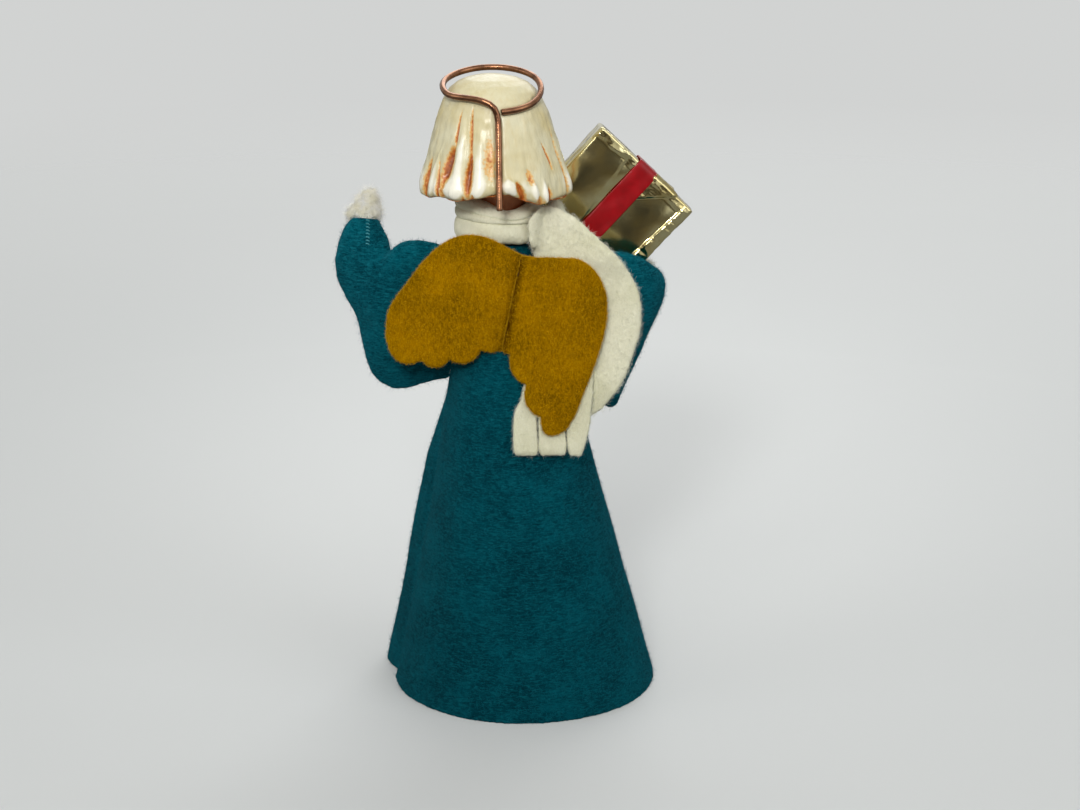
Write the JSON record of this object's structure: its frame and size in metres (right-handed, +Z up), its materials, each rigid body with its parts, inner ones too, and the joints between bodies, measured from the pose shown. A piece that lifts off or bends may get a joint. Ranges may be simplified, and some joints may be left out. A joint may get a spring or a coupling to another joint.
{
  "type": "christmas angel ornament",
  "caption": "Standing felt angel with a cone robe, scalloped wings on a centre seam, a fringed scarf, clay hair, a wire halo and a wrapped gift in one hand.",
  "frame": {"origin": "centre of the bounding box on the floor plane under the hem", "axes": "+Z up along the robe, -Y towards the front where the face is, +X towards the angel's left hand"},
  "size_m": [0.093, 0.068, 0.1622],
  "materials": {
    "red_card": "matt card",
    "plug_wood": "raw",
    "arm_steel": "bare wire",
    "teal_felt": "wool felt",
    "teal_thread": "twisted thread",
    "mitten_felt": "fuzzy felt",
    "clay_skin": "matt clay",
    "hair_glaze": "gloss glaze with a brown wash",
    "halo_copper": "drawn copper wire",
    "cream_felt": "wool felt",
    "mustard_felt": "wool felt",
    "mustard_thread": "twisted thread",
    "gift_core": "raw block",
    "gold_foil": "metallic foil paper",
    "red_satin": "satin ribbon"
  },
  "bodies": {
    "figure": {"card_cone": "red_card", "cone_plug": "plug_wood", "neck_dowel": "plug_wood", "arm_wire": "arm_steel", "robe_back_panel": "teal_felt", "robe_front_panel": "teal_felt", "left_sleeve": "teal_felt", "right_sleeve": "teal_felt", "left_cuff_thread": "teal_thread", "right_cuff_thread": "teal_thread", "left_mitten": "mitten_felt", "right_mitten": "mitten_felt", "head": "clay_skin", "hair_cap": "hair_glaze", "halo_wire": "halo_copper", "scarf_collar": "cream_felt", "scarf_knot": "cream_felt", "scarf_outer_tail": "cream_felt", "scarf_fringed_tail": "cream_felt", "wing_seam_thread": "mustard_thread", "gift_block": "gift_core", "gift_foil": "gold_foil", "gift_ribbon": "red_satin"},
    "left_wing": {"left_wing": "mustard_felt"},
    "right_wing": {"right_wing": "mustard_felt"}
  },
  "joints": [
    {"name": "left_wing_fold", "type": "hinge", "parent": "figure", "child": "left_wing", "pos_m": [0.00022, 0.01423, 0.1054], "axis": [-0.1945, -0.0267, 0.9805], "range_deg": [0, 70], "stiffness_Nm_per_rad": 0.0005},
    {"name": "right_wing_fold", "type": "hinge", "parent": "figure", "child": "right_wing", "pos_m": [0.00022, 0.01423, 0.1054], "axis": [0.1945, 0.0267, -0.9805], "range_deg": [0, 70], "stiffness_Nm_per_rad": 0.0005}
  ]
}
